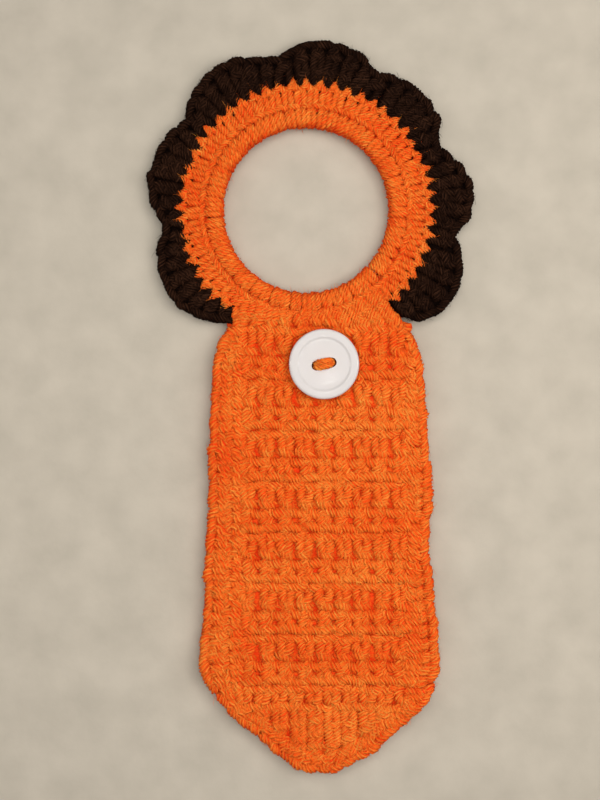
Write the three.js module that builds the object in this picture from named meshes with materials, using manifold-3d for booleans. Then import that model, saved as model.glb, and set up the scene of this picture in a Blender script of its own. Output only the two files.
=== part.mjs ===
// Crocheted towel holder: a plastic ring covered in orange crochet, a wide orange
// strap that folds over a rail, a dark brown scalloped border round the ring, and a
// two-hole button sewn on with yarn. The part lies on its back: +Z is its front,
// +Y runs from the strap's pointed tip to the ring, and Z = 0 is the surface it lies on.
// Soft fabric is modelled as closed solids, one per worked row, edge strip or scallop,
// which meet at the lines where the fabric flexes. Millimetres throughout.
import * as THREE from "three";
import { mergeVertices } from "three/addons/utils/BufferGeometryUtils.js";
import Module from "manifold-3d";

const wasm = await Module();
wasm.setup();

// ---- driving dimensions -------------------------------------------------------
const T = 6; // thickness of the worked fabric
const MID = T / 2; // height of every fabric flex line
const GAP = 0.15; // half the gap left between neighbouring solids
const CENTRE = { x: 0.11, y: -0.265 }; // shift of the whole part
const RING = { x: -1.8, y: 78.6 }; // centre of the ring's opening
const CORE_R = 36.4; // ring core, to the middle of its rod: a 76 mm craft ring
const CORE_ROD = 1.6; // radius of the ring core's rod
const HOLE_R = 33.4; // clear radius inside the worked cover
const ROUND1_R = 41.3; // outer radius of the first round of stitches
const ROUND2_R = 50.5; // outer radius of the second round, at its corners
const ROW_PITCH = 10.16; // height of one worked row
const ROW_TOP = 39.8; // Y where row 1 starts under the ring
const NECK_Y = 31.2; // flex line between the ring and the strap
const ROWS = 15;
const EDGE_LEFT_X = -28.4; // inner line of the left edge strip
const EDGE_RIGHT_X = 39.2; // inner line of the right edge strip
const TILT = { front: 18, back: 38.5 }; // bevels that leave room for the neck to flex
const FOLD = { front: 19, back: 8 }; // bevels that leave room for the strap to fold
const BUTTON = { x: 5.3, y: 16.8, r: 14 }; // a 44-line button, 28 mm across
const SHANK_Z = 6.3; // underside of the yarn shank
const BUTTON_Z = 7.3; // underside of the button
const HOLE_PITCH = 6.2; // between the button's two holes
const HOLE_RAD = 1.75;
const HOLE_TURN = 12; // degrees that the line through the holes is turned
const SLIT = { x: 5.3, top: -118.6, bottom: -139.4, half: 0.6 }; // gap between two tall stitches, where the button goes through

// strap outline, left and right X at each Y
const OUTLINE = [
  [31.2, -35.0, 41.4], [29.8, -35.4, 41.8], [24.6, -37.4, 43.6], [18.6, -39.0, 45.4],
  [12.6, -39.8, 45.8], [6.6, -40.2, 46.6], [-5.4, -40.4, 47.2], [-17.4, -40.8, 47.8],
  [-29.4, -41.0, 48.6], [-41.4, -41.2, 48.6], [-53.4, -41.8, 47.8], [-65.4, -42.6, 48.2],
  [-77.4, -42.6, 49.4], [-89.4, -43.6, 50.6], [-95.4, -44.2, 51.2], [-101.4, -44.6, 51.8],
  [-106.2, -44.2, 51.2], [-112.6, -40.2, 49.6], [-119.4, -35.4, 45.8], [-125.4, -29.4, 39.0],
  [-131.4, -21.8, 32.6], [-137.4, -15.4, 25.8], [-143.4, -7.8, 14.6], [-146.2, -3.0, 10.6],
];

// the scallops: start and end angle clockwise from +Y, and outline radius at even steps between them
const SCALLOPS = [
  { from: -145.5, to: -97, r: [54.5, 60.5, 64.4, 64.2, 62.0, 57.5] },
  { from: -97, to: -54, r: [57.0, 61.5, 64.9, 65.0, 64.0, 60.5] },
  { from: -54, to: -12, r: [60.5, 64.5, 67.6, 68.0, 66.0, 62.0] },
  { from: -12, to: 27, r: [62.0, 66.0, 68.3, 68.4, 66.4, 62.5] },
  { from: 27, to: 64, r: [62.5, 65.0, 66.6, 66.6, 64.6, 60.0] },
  { from: 64, to: 99, r: [59.5, 63.5, 67.4, 67.6, 65.0, 61.0] },
  { from: 99, to: 139, r: [61.0, 65.5, 68.2, 68.2, 64.5, 57.5] },
];

// ---- helpers ------------------------------------------------------------------
const rad = (d) => (d * Math.PI) / 180;
const rowY = (k) => (k === 2 ? NECK_Y : ROW_TOP - ROW_PITCH * (k - 1));

function solid(geometry) {
  const g = (geometry.index ? geometry.toNonIndexed() : geometry).clone();
  g.deleteAttribute("normal");
  g.deleteAttribute("uv");
  const m = mergeVertices(g, 1e-4);
  return new wasm.Manifold(
    new wasm.Mesh({
      numProp: 3,
      vertProperties: m.attributes.position.array,
      triVerts: new Uint32Array(m.index.array),
    }),
  );
}

function geometryOf(manifold) {
  const m = manifold.getMesh();
  const v = new Float32Array(m.numVert * 3);
  for (let i = 0; i < m.numVert; i++)
    v.set(m.vertProperties.subarray(i * m.numProp, i * m.numProp + 3), i * 3);
  const g = new THREE.BufferGeometry();
  g.setAttribute("position", new THREE.BufferAttribute(v, 3));
  g.setIndex(new THREE.BufferAttribute(m.triVerts, 1));
  g.computeVertexNormals();
  return g;
}

// a plan outline, extruded between two heights
function plate(points, z0 = 0, z1 = T, holes = []) {
  const shape = new THREE.Shape(points.map(([x, y]) => new THREE.Vector2(x, y)));
  for (const h of holes)
    shape.holes.push(new THREE.Path(h.map(([x, y]) => new THREE.Vector2(x, y))));
  const g = new THREE.ExtrudeGeometry(shape, { depth: z1 - z0, bevelEnabled: false, curveSegments: 24 });
  g.translate(0, 0, z0);
  return solid(g);
}

// a (Y, Z) profile, extruded along X over the whole strap
function across(profile, x0 = -80, x1 = 90) {
  const shape = new THREE.Shape(profile.map(([y, z]) => new THREE.Vector2(y, z)));
  const g = new THREE.ExtrudeGeometry(shape, { depth: x1 - x0, bevelEnabled: false });
  // shape x -> Y, shape y -> Z, depth -> X
  g.applyMatrix4(new THREE.Matrix4().set(0, 0, 1, x0, 1, 0, 0, 0, 0, 1, 0, 0, 0, 0, 0, 1));
  return solid(g);
}

// the band between two flex lines, bevelled front and back at each
function band(top, bottom) {
  const set = (b, z) => MID * Math.tan(rad(z > MID ? b.front : b.back));
  const y0 = top.y - GAP, y1 = bottom.y + GAP;
  const tf = set(top, T), tb = set(top, 0), bf = set(bottom, T), bb = set(bottom, 0);
  return across([
    [y0, MID], [y0 - tf, T + 0.001], [y1 + bf, T + 0.001],
    [y1, MID], [y1 + bb, -0.001], [y0 - tb, -0.001],
  ]);
}

const lerpOutline = (y, side) => {
  for (let i = 0; i + 1 < OUTLINE.length; i++) {
    const [ya, ...a] = OUTLINE[i], [yb, ...b] = OUTLINE[i + 1];
    if (y <= ya && y >= yb) return a[side] + ((b[side] - a[side]) * (ya - y)) / (ya - yb);
  }
  return OUTLINE[0][1 + side];
};

const polar = (r, deg) => [RING.x + r * Math.sin(rad(deg)), RING.y + r * Math.cos(rad(deg))];
const arc = (r, from, to, steps) =>
  Array.from({ length: steps + 1 }, (_, i) => polar(r, from + ((to - from) * i) / steps));

const FABRIC = (hex) => new THREE.MeshStandardMaterial({ color: hex, roughness: 0.95, metalness: 0 });
const ORANGE = FABRIC(0xe8641b);
const BROWN = FABRIC(0x28150d);
const WHITE = new THREE.MeshStandardMaterial({ color: 0xf1efee, roughness: 0.22, metalness: 0 });
const CLEAR = new THREE.MeshStandardMaterial({ color: 0xe9e6df, roughness: 0.4, metalness: 0 });

// everything hangs in one group, shifted so that the origin is the middle of the part's footprint
const part = new THREE.Group();
const group = new THREE.Group();
group.position.set(CENTRE.x, CENTRE.y, 0);
part.add(group);
function add(name, geometry, material, parent = group) {
  const mesh = new THREE.Mesh(geometry, material);
  mesh.name = name;
  parent.add(mesh);
  return mesh;
}

// ---- ring ---------------------------------------------------------------------
const ring = new THREE.Group();
ring.position.set(RING.x, RING.y, MID);
group.add(ring);

// hard plastic craft ring, inside the cover
add("ring_core", new THREE.TorusGeometry(CORE_R, CORE_ROD, 12, 60), CLEAR, ring);

// first round of stitches, wrapped over the core: a C section, open at its outer rim,
// where the fronts and backs of the stitches meet
{
  const c = CORE_ROD + 0.3, gapHalf = 0.6;
  const p = [];
  const outer = [
    [ROUND1_R, gapHalf], [ROUND1_R, 2.2], [ROUND1_R - 0.8, 3], [36.4, 3], [34.6, 2.5], [33.75, 1.5],
    [HOLE_R, 0], [33.75, -1.5], [34.6, -2.5], [36.4, -3], [ROUND1_R - 0.8, -3], [ROUND1_R, -2.2], [ROUND1_R, -gapHalf],
  ];
  for (const q of outer) p.push(new THREE.Vector2(...q));
  const a0 = Math.asin(gapHalf / c);
  for (let i = 0; i <= 12; i++) {
    const a = -a0 - ((2 * Math.PI - 2 * a0) * i) / 12;
    p.push(new THREE.Vector2(CORE_R + c * Math.cos(a), c * Math.sin(a)));
  }
  p.push(p[0].clone());
  const g = new THREE.LatheGeometry(p, 60);
  g.rotateX(Math.PI / 2);
  let s = solid(g);
  if (s.volume() < 0) {
    g.scale(1, -1, 1);
    s = solid(g);
  }
  add("ring_cover_round_1", g, ORANGE, ring);
}

// wedge outside a scallop's flex line, with room to flex, used to cut the ring's rim
const FLEX = 17;
function chord(s) {
  const half = (s.to - s.from) / 2, midAngle = (s.to + s.from) / 2;
  return { half, midAngle, d: ROUND2_R * Math.cos(rad(half)), len: 2 * ROUND2_R * Math.sin(rad(half)) };
}
function prismAlongChord(s, profile, extra) {
  // profile in (distance from ring centre, z); extruded along the chord
  const c = chord(s);
  const shape = new THREE.Shape(profile.map(([d, z]) => new THREE.Vector2(d, z)));
  const L = c.len + extra;
  const g = new THREE.ExtrudeGeometry(shape, { depth: L, bevelEnabled: false });
  const u = new THREE.Vector3(Math.sin(rad(c.midAngle)), Math.cos(rad(c.midAngle)), 0); // outward
  const w = new THREE.Vector3(0, 0, 1);
  const t = new THREE.Vector3().crossVectors(u, w);
  const m = new THREE.Matrix4().makeBasis(u, w, t);
  m.setPosition(RING.x - (t.x * L) / 2, RING.y - (t.y * L) / 2, 0);
  g.applyMatrix4(m);
  return solid(g);
}

// second round of stitches: from scallop 1 over the top to scallop 7
{
  const from = SCALLOPS[0].from - 0.5, to = SCALLOPS[6].to + 1.5;
  let s = plate([...arc(ROUND1_R + 0.3, from, to, 60), ...arc(ROUND2_R + 0.6, to, from, 60)]);
  for (const sc of SCALLOPS) {
    const { d } = chord(sc), b = MID * Math.tan(rad(FLEX));
    s = s.subtract(
      prismAlongChord(sc, [[d - GAP, MID], [d - GAP - b, -0.01], [d + 20, -0.01], [d + 20, T + 0.01], [d - GAP - b, T + 0.01]], 0.4),
    );
  }
  const parts = s.decompose().sort((a, b) => b.volume() - a.volume());
  add("ring_cover_round_2", geometryOf(parts[0]), ORANGE);
}

// scallops of the brown border, each free to flex on its own chord
SCALLOPS.forEach((sc, i) => {
  const c = chord(sc), H = 5.6;
  const u = [Math.sin(rad(c.midAngle)), Math.cos(rad(c.midAngle))];
  const t = [Math.cos(rad(c.midAngle)), -Math.sin(rad(c.midAngle))];
  const halfBase = c.len / 2 - 1.15;
  const at = (a, b) => [RING.x + u[0] * a + t[0] * b, RING.y + u[1] * a + t[1] * b];
  const pts = [at(c.d - 2, -halfBase), at(c.d - 2, halfBase)];
  // outline radii, smoothed and kept inside tapering sides
  const n = 16, R = sc.r;
  const out = [];
  for (let k = 0; k <= n; k++) {
    const f = (k / n) * (R.length - 1), j = Math.min(Math.floor(f), R.length - 2), w = f - j;
    const r = R[j] + (R[j + 1] - R[j]) * (w * w * (3 - 2 * w));
    const ang = sc.from + ((sc.to - sc.from) * k) / n;
    const p = [r * Math.sin(rad(ang - c.midAngle)), r * Math.cos(rad(ang - c.midAngle))];
    const reach = p[1] - c.d;
    const side = halfBase + Math.tan(rad(c.half)) * reach - 0.11 * reach;
    out.push(at(p[1], Math.max(-side, Math.min(side, p[0]))));
  }
  const shape = [pts[0], ...out, pts[1]];
  let s = plate(shape, 0, H);
  if (s.volume() < 0) s = plate(shape.slice().reverse(), 0, H);
  const b = MID * Math.tan(rad(FLEX)), d = c.d;
  s = s.subtract(
    prismAlongChord(sc, [[d + GAP, MID], [d + GAP + b, T + 0.01], [d - 20, T + 0.01], [d - 20, -0.01], [d + GAP + b, -0.01]], 10),
  );
  const parts = s.decompose().sort((a, q) => q.volume() - a.volume());
  add("scallop_" + (i + 1), geometryOf(parts[0]), BROWN);
});

// ---- strap --------------------------------------------------------------------
const RIGID = { front: 6, back: 6 };
const line = (y, b) => ({ y, ...b });
const lines = [];
for (let k = 1; k <= 16; k++) lines[k] = line(rowY(k), RIGID);
lines[2] = line(rowY(2), TILT);
for (const k of [8, 9, 10, 11, 12, 13]) lines[k] = line(rowY(k), FOLD);
lines[16] = line(rowY(16), { front: FOLD.back, back: FOLD.front });

// row 1, worked into the ring: a crescent under round 1
{
  const inner = arc(ROUND1_R + 0.3, SCALLOPS[6].to + 3, 360 + SCALLOPS[0].from - 2.2, 28);
  const outline = [
    ...inner,
    polar(ROUND2_R, 360 + SCALLOPS[0].from - 2.2), polar(54.5, 360 + SCALLOPS[0].from - 1.3),
    [-34.2, NECK_Y], [-34.2, NECK_Y - 5], [40.8, NECK_Y - 5], [40.8, NECK_Y],
    polar(54.5, SCALLOPS[6].to + 2.6), polar(ROUND2_R, SCALLOPS[6].to + 3),
  ];
  let s = plate(outline);
  if (s.volume() < 0) s = plate(outline.slice().reverse());
  s = s.intersect(band(line(90, RIGID), lines[2]));
  add("strap_row_01", geometryOf(s), ORANGE);
}

// rows 2 to 15 between the two edge strips
for (let k = 2; k <= ROWS; k++) {
  const s = plate([
    [EDGE_LEFT_X + GAP, rowY(k) + 2], [EDGE_LEFT_X + GAP, rowY(k + 1) - 2],
    [EDGE_RIGHT_X - GAP, rowY(k + 1) - 2], [EDGE_RIGHT_X - GAP, rowY(k) + 2],
  ]).intersect(band(lines[k], lines[k + 1]));
  add("strap_row_" + String(k).padStart(2, "0"), geometryOf(s), ORANGE);
}

// edge strips, worked along both sides afterwards, parted at the flex lines
const STRETCHES = [["base", 2, 8], ["08", 8, 9], ["09", 9, 10], ["10", 10, 11], ["11", 11, 12], ["12", 12, 13], ["13_15", 13, 16]];
for (const [label, a, b] of STRETCHES) {
  const y0 = rowY(a), y1 = rowY(b);
  const ys = [y0 + 0.0001, ...OUTLINE.map((o) => o[0]).filter((y) => y < y0 - 0.5 && y > y1 + 0.5), y1 - 0.0001];
  const cut = band(lines[a], lines[b]);
  for (const [side, name] of [[0, "left"], [1, "right"]]) {
    const inner = side ? EDGE_RIGHT_X + GAP : EDGE_LEFT_X - GAP;
    const pts = [...ys.map((y) => [lerpOutline(Math.min(y, 31.19), side), y]), [inner, y1], [inner, y0]];
    let s = plate(side ? pts.reverse() : pts);
    if (s.volume() < 0) s = plate(pts.reverse());
    s = s.intersect(cut);
    add("strap_edge_" + name + "_" + label, geometryOf(s), ORANGE);
  }
}

// pointed tip: tall stitches left and right of the gap that takes the button, inside one edge strip
{
  const cut = band(lines[16], line(-160, RIGID));
  const left = OUTLINE.filter((o) => o[0] <= -112.6).map((o) => [o[1], o[0]]);
  const right = OUTLINE.filter((o) => o[0] <= -112.6).map((o) => [o[2], o[0]]).reverse();
  const outer = [[-40.2, -110], ...left, ...right, [49.6, -110]];
  const inset = (p, dx, dy) => [p[0] + dx, p[1] + dy];
  const innerL = [[-31.0, -112.6], [-29.0, -118.0], [-24.0, -122.8], [-16.4, -128.6], [-9.0, -134.8], [-1.0, -140.6]];
  const innerR = [[8.6, -140.6], [19.0, -134.8], [26.6, -128.6], [33.4, -122.8], [38.6, -118.0], [40.6, -112.6]];
  const inner = [[-31.0, -105], ...innerL, ...innerR, [40.6, -105]];
  const edge = plate(outer).subtract(plate(inner, -1, T + 1)).intersect(cut);
  add("tip_edge", geometryOf(edge), ORANGE);
  const shrink = (p) => inset(p, p[0] < SLIT.x ? 0.3 : -0.3, 0.3);
  const innerSmall = [[-30.7, -105], ...innerL.map(shrink), ...innerR.map(shrink), [40.3, -105]];
  const body = plate(innerSmall).intersect(cut);
  const x0 = SLIT.x;
  const leftHalf = plate([[-60, -100], [-60, -160], [x0 - SLIT.half, -160], [x0 - SLIT.half, SLIT.top], [x0 - GAP, SLIT.top + 2], [x0 - GAP, -100]], -1, T + 1);
  const rightHalf = plate([[x0 + GAP, -100], [x0 + GAP, SLIT.top + 2], [x0 + SLIT.half, SLIT.top], [x0 + SLIT.half, -160], [60, -160], [60, -100]], -1, T + 1);
  add("tip_stitches_left", geometryOf(body.intersect(leftHalf)), ORANGE);
  add("tip_stitches_right", geometryOf(body.intersect(rightHalf)), ORANGE);
}

// ---- button -------------------------------------------------------------------
const button = new THREE.Group();
button.position.set(BUTTON.x, BUTTON.y, 0);
button.rotation.z = rad(HOLE_TURN);
group.add(button);
{
  const R = BUTTON.r, z = BUTTON_Z;
  const profile = [
    [0, z], [10.8, z], [12.6, z + 0.4], [13.7, z + 1.2], [R, z + 2.0], [13.8, z + 2.7], [13.2, z + 3.15], [12.4, z + 3.3],
    [11.0, z + 3.3], [10.5, z + 3.1], [10.0, z + 2.4], [7.5, z + 2.05], [4, z + 1.85], [0, z + 1.8],
  ].map(([r, h]) => new THREE.Vector2(r, h));
  const g = new THREE.LatheGeometry(profile, 40);
  g.rotateX(Math.PI / 2);
  g.rotateX(Math.PI);
  // after the lathe the axis is Y: stand it along +Z
  let body = solid(g);
  const box = body.boundingBox();
  if (box.min[2] < 0) {
    g.rotateX(Math.PI);
    body = solid(g);
  }
  if (body.volume() < 0) body = solid(g.scale(-1, 1, 1));
  for (const sx of [-1, 1]) {
    const h = new THREE.CylinderGeometry(HOLE_RAD, HOLE_RAD, 12, 20);
    h.rotateX(Math.PI / 2);
    h.translate((sx * HOLE_PITCH) / 2, 0, z + 2);
    body = body.subtract(solid(h));
  }
  add("button", geometryOf(body), WHITE, button);

  // sewing yarn: up through one hole, across the dish and down through the other
  const a = HOLE_PITCH / 2, r = HOLE_RAD - 0.35;
  const path = new THREE.CurvePath();
  const lo = z - 0.02, hi = z + 2.0;
  const bridge = [
    new THREE.Vector3(-a, 0, lo), new THREE.Vector3(-a, 0, hi - 0.4), new THREE.Vector3(-a + 0.12, 0, hi + 0.55),
    new THREE.Vector3(-a + 0.9, 0, hi + 1.35), new THREE.Vector3(0, 0, hi + 1.65), new THREE.Vector3(a - 0.9, 0, hi + 1.35),
    new THREE.Vector3(a - 0.12, 0, hi + 0.55), new THREE.Vector3(a, 0, hi - 0.4), new THREE.Vector3(a, 0, lo),
  ];
  const curve = new THREE.CatmullRomCurve3(bridge, false, "centripetal");
  const circle = new THREE.Shape();
  const N = 10;
  for (let i = 0; i < N; i++) {
    const t = (2 * Math.PI * i) / N;
    if (i) circle.lineTo(r * Math.cos(t), r * Math.sin(t));
    else circle.moveTo(r, 0);
  }
  circle.closePath();
  add("button_yarn", new THREE.ExtrudeGeometry(circle, { steps: 26, extrudePath: curve, bevelEnabled: false }), ORANGE, button);

  // the yarn wound between the button and the fabric
  const shank = new THREE.CylinderGeometry(3.4, 4.2, 0.7, 24);
  shank.rotateX(Math.PI / 2);
  shank.translate(0, 0, SHANK_Z + 0.35);
  add("button_shank", shank, ORANGE, button);
}

export default part;
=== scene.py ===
import math

import bmesh
import bpy
import numpy as np
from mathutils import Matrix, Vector


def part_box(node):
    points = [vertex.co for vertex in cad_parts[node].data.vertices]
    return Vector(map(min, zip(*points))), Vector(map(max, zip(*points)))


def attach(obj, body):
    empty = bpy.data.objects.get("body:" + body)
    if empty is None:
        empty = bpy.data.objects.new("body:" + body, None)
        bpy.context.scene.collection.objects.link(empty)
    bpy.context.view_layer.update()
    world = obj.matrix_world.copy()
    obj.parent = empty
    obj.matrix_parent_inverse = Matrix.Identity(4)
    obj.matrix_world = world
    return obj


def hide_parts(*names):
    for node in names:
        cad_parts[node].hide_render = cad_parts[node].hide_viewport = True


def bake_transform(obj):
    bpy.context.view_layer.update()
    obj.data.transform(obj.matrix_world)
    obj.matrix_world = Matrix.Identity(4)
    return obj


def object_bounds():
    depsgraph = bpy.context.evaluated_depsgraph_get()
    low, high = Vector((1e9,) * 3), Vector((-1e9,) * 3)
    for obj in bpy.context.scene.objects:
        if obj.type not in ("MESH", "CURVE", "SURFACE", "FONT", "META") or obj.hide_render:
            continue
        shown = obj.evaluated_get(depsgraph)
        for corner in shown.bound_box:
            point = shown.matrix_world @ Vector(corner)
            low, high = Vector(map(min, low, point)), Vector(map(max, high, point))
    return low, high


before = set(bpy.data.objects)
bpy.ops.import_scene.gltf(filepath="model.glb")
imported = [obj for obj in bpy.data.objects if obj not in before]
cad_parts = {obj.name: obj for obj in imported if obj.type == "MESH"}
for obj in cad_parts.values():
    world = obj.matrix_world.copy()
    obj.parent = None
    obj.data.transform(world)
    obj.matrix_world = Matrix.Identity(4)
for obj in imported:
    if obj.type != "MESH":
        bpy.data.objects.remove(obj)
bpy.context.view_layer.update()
rng = np.random.default_rng(41)

# ------------------------------------------------------------------ places, in millimetres
box = lambda node: tuple(np.array(c) * 1000 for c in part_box(node))
core_lo, core_hi = box("ring_core")
CX, CY = (core_lo[0] + core_hi[0]) / 2, (core_lo[1] + core_hi[1]) / 2
MID = (core_lo[2] + core_hi[2]) / 2
row_box = {k: box("strap_row_%02d" % k) for k in range(1, 16)}
tip_lo, tip_hi = box("tip_edge")
LINE = {k: (row_box[k - 1][0][1] + row_box[k][1][1]) / 2 for k in range(2, 16)}
LINE[16] = (row_box[15][0][1] + tip_hi[1]) / 2
XL, XR = row_box[5][0][0], row_box[5][1][0]
b_lo, b_hi = box("button")
BX, BY = (b_lo[0] + b_hi[0]) / 2, (b_lo[1] + b_hi[1]) / 2
SX, SY = CX + 1.8, CY - 78.6  # the part's own shift, as in the CAD

OUTLINE = np.array([
    [31.2, -34.8, 41.0], [29.8, -35.4, 41.8], [24.6, -37.4, 43.6], [18.6, -39.0, 45.4],
    [12.6, -39.8, 45.8], [6.6, -40.2, 46.6], [-5.4, -40.4, 47.2], [-17.4, -40.8, 47.8],
    [-29.4, -41.0, 48.6], [-41.4, -41.2, 48.6], [-53.4, -41.8, 47.8], [-65.4, -42.6, 48.2],
    [-77.4, -42.6, 49.4], [-89.4, -43.6, 50.6], [-95.4, -44.2, 51.2], [-101.4, -44.6, 51.8],
    [-106.2, -44.2, 51.2], [-112.6, -40.2, 49.6], [-119.4, -35.4, 45.8], [-125.4, -29.4, 39.0],
    [-131.4, -21.8, 32.6], [-137.4, -15.4, 25.8], [-143.4, -7.8, 14.6], [-146.2, -3.0, 10.6],
]) + [SY, SX, SX]


def edge_x(y, side):
    return np.interp(-np.asarray(y, float), -OUTLINE[:, 0], OUTLINE[:, 1 + side])


def polar(r, deg):
    a = np.radians(deg)
    return np.stack([CX + r * np.sin(a), CY + r * np.cos(a)], -1)


# ------------------------------------------------------------------ yarn
STEP = 0.78


def smooth(ctrl, per=8):
    P = np.vstack([2 * ctrl[0] - ctrl[1], ctrl, 2 * ctrl[-1] - ctrl[-2]])
    t = (np.arange(per) / per)[None, :, None]
    a, b, c, d = (P[i:len(P) - 3 + i, None, :] for i in range(4))
    q = 0.5 * (2 * b + (c - a) * t + (2 * a - 5 * b + 4 * c - d) * t**2 + (3 * b - a - 3 * c + d) * t**3)
    q = np.vstack([q.reshape(-1, 4), ctrl[-1]])
    s = np.concatenate([[0], np.cumsum(np.linalg.norm(np.diff(q[:, :3], axis=0), axis=1))])
    n = max(4, int(s[-1] / STEP))
    u = np.linspace(0, s[-1], n + 1)
    q = np.stack([np.interp(u, s, q[:, i]) for i in range(4)], -1)
    return q[:, :3], q[:, 3], u


def frames(P):
    T = np.gradient(P, axis=0)
    T /= np.linalg.norm(T, axis=1, keepdims=True) + 1e-9
    n = np.cross(T[0], [0.3, 0.2, 0.93])
    if np.linalg.norm(n) < 0.1:
        n = np.cross(T[0], [1, 0, 0])
    N = np.empty_like(P)
    for i in range(len(P)):
        t = T[i]
        n = n - t * (n[0] * t[0] + n[1] * t[1] + n[2] * t[2])
        n = n / math.sqrt(n[0] * n[0] + n[1] * n[1] + n[2] * n[2])
        N[i] = n
    return T, N, np.cross(T, N)


class Yarn:
    """Gathers plied strands into one mesh."""

    def __init__(self):
        self.V, self.Q, self.Tr, self.strand, self.ply, self.tone, self.n = [], [], [], [], [], [], 0

    def add(self, ctrl, R=1.3, plies=5, per_ply=4, pitch=6.6, lobe=0.36, tone=0.0, fuzz=1.0):
        ctrl = np.asarray(ctrl, float)
        if ctrl.shape[1] == 3:
            ctrl = np.hstack([ctrl, np.ones((len(ctrl), 1))])
        P, rf, s = smooth(ctrl)
        T, N, B = frames(P)
        m = plies * per_ply
        phase = rng.uniform(0, 2 * math.pi)
        j = np.arange(m) * 2 * math.pi / m
        prof = R * (1 - lobe * (1 - np.abs(np.cos(plies * j / 2))) ** 1.3)
        wob = 1 + 0.05 * np.sin(s / 3.1 + phase) + 0.04 * np.sin(s / 1.37 + 2 * phase)
        ang = j[None, :] + (s * 2 * math.pi / pitch + phase)[:, None]
        r = prof[None, :] * (wob * rf)[:, None]
        rough = rng.normal(0, 0.055, r.shape)
        rough[1:] = 0.7 * rough[1:] + 0.5 * rough[:-1]
        r *= 1 + rough
        V = P[:, None, :] + r[..., None] * (np.cos(ang)[..., None] * N[:, None, :] + np.sin(ang)[..., None] * B[:, None, :])
        k, base = len(P), self.n
        st = np.empty((k, m, 3))
        off = rng.uniform(0, 400)
        st[..., 0] = (s + off)[:, None]
        st[..., 1] = np.cos(j)[None, :] * R + 40 * phase
        st[..., 2] = np.sin(j)[None, :] * R
        # third component: 0 on a ply's crest, -1 in the groove between plies (-0.5 at the end caps); the material
        # darkens the grooves with it, painted shade
        pl = np.stack(np.broadcast_arrays(np.cos(j)[None, :], np.sin(j)[None, :], ((prof / R - 1) / lobe)[None, :] + np.zeros((k, 1))), -1).reshape(-1, 3)
        self.ply += [pl, [[1, 0, -0.5]], [[1, 0, -0.5]]]
        i = np.arange(k - 1)[:, None] * m
        a = base + i + np.arange(m)[None, :]
        b = base + i + (np.arange(m)[None, :] + 1) % m
        self.Q.append(np.stack([a, b, b + m, a + m], -1).reshape(-1, 4))
        self.V += [V.reshape(-1, 3), P[:1] - T[:1] * R * 0.4, P[-1:] + T[-1:] * R * 0.4]
        self.strand += [st.reshape(-1, 3), st[0, :1], st[-1, :1]]
        self.tone.append(np.full(k * m + 2, tone))
        c0, c1 = base + k * m, base + k * m + 1
        jj = np.arange(m)
        first, last = base + jj, base + (k - 1) * m + jj
        self.Tr.append(np.stack([first[(jj + 1) % m], first, np.full(m, c0)], -1))
        self.Tr.append(np.stack([last, last[(jj + 1) % m], np.full(m, c1)], -1))
        self.n += k * m + 2
        if fuzz:
            self.hairs(P, T, N, B, R * rf, int(s[-1] * fuzz))

    def hairs(self, P, T, N, B, R, count):
        """Loose fibre ends: closed three-sided spindles that leave the strand at a slant."""
        if count < 1:
            return
        i = rng.integers(1, len(P) - 1, count)
        an, side = rng.uniform(0, 2 * math.pi, count), rng.choice([-1.0, 1.0], count)
        length, lift, swirl = rng.uniform(1.6, 4.6, count), rng.gamma(2.0, 0.2, count), rng.normal(0.6, 0.6, count)
        rings, thick = [], (0.05, 0.065, 0.05)
        X = np.cross(T[i], np.cos(an)[:, None] * N[i] + np.sin(an)[:, None] * B[i])
        for t in (0.0, 0.35, 0.7, 1.0):
            a = an + swirl * t
            out = np.cos(a)[:, None] * N[i] + np.sin(a)[:, None] * B[i]
            c = P[i] + out * (R[i] * 0.9 + lift * t * (1.6 - 0.6 * t))[:, None] + T[i] * (side * length * t)[:, None]
            c[:, 2] = np.maximum(c[:, 2], -1.5)  # pressed flat by the surface the part lies on
            rings.append(c)
        V = []
        for c, w in zip(rings[:3], thick):
            for q in range(3):
                b = 2 * math.pi * q / 3
                o = np.cos(an)[:, None] * N[i] + np.sin(an)[:, None] * B[i]
                V.append(c + w * (math.cos(b) * X + math.sin(b) * o))
        V.append(rings[3])
        V = np.stack(V, 1)  # count, 10, 3
        base = self.n + np.arange(count)[:, None] * 10
        tri, quad = [], []
        for r_ in (0, 3):
            for q in range(3):
                w = (q + 1) % 3
                quad.append([r_ + q, r_ + w, r_ + 3 + w, r_ + 3 + q])
        for q in range(3):
            tri.append([6 + q, 6 + (q + 1) % 3, 9])
        tri.append([2, 1, 0])
        flip = side > 0
        quad, tri = np.array(quad), np.array(tri)
        Q = base[:, :, None] + np.where(flip[:, None, None], quad[None], quad[None, :, ::-1])
        Tq = base[:, :, None] + np.where(flip[:, None, None], tri[None], tri[None, :, ::-1])
        self.Q.append(Q.reshape(-1, 4))
        self.Tr.append(Tq.reshape(-1, 3))
        self.V.append(V.reshape(-1, 3))
        self.strand.append(V.reshape(-1, 3) * [3.0, 3.0, 3.0])
        self.ply.append(np.tile([1.0, 0.0, 0.0], (count * 10, 1)))
        # tone varies at random around a lighter mean; the lift is painted highlight on the loose fibres
        self.tone.append(np.repeat(rng.normal(0.6, 0.7, count), 10))
        self.n += count * 10

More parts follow.
